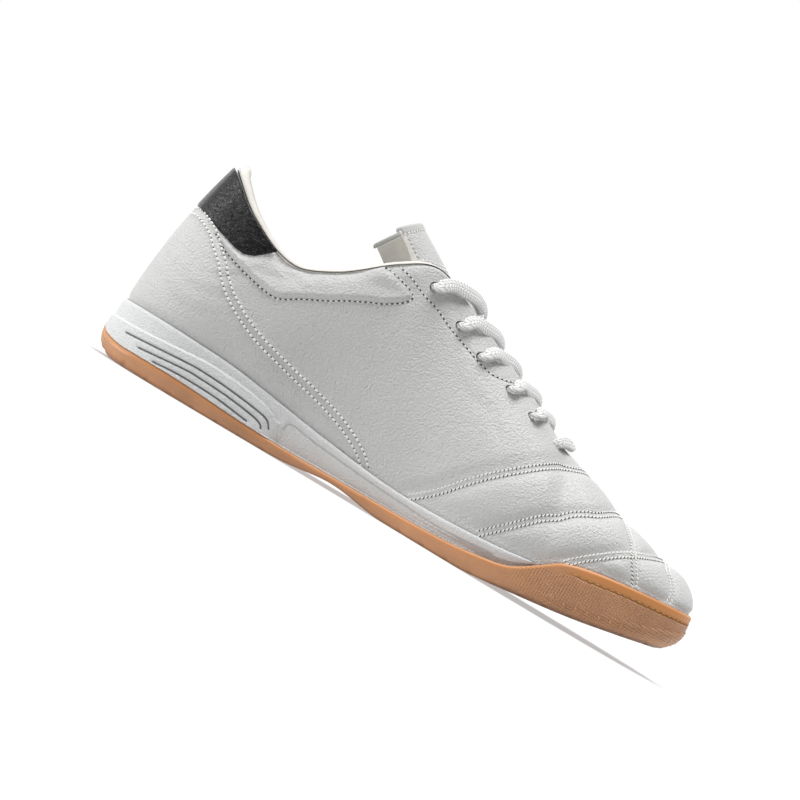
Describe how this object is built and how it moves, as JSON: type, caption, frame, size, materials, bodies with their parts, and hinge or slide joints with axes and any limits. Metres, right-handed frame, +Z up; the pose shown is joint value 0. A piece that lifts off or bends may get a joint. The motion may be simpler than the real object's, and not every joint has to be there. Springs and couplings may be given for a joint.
{
  "type": "indoor soccer shoe",
  "caption": "Low indoor soccer shoe for the left foot: hollow white leather upper with quilted toe, black heel tab, flat laces, pale midsole and gum rubber cup sole.",
  "frame": {"origin": "on the floor, under the middle of the sole's length, at the bottom centre of the bounding box", "axes": "+X to the toe, +Y to the outer side of the foot, +Z up"},
  "size_m": [0.285, 0.097, 0.1194],
  "materials": {
    "outsole": "satin gum rubber",
    "midsole": "moulded foam, matte",
    "upper": "white coated leather, satin, fine grain",
    "heel_tab": "black crinkled leather, glossy",
    "lining": "padded textile",
    "insole": "textile over foam",
    "laces": "flat braid"
  },
  "bodies": {
    "root": {"outsole": "outsole", "midsole": "midsole", "upper": "upper", "heel_tab": "heel_tab", "collar_lining": "lining", "tongue": "upper", "insole": "insole", "lace_crossing_1": "laces", "lace_crossing_2": "laces", "lace_crossing_3": "laces", "lace_crossing_4": "laces", "lace_crossing_5": "laces", "lace_bar": "laces"}
  },
  "joints": []
}
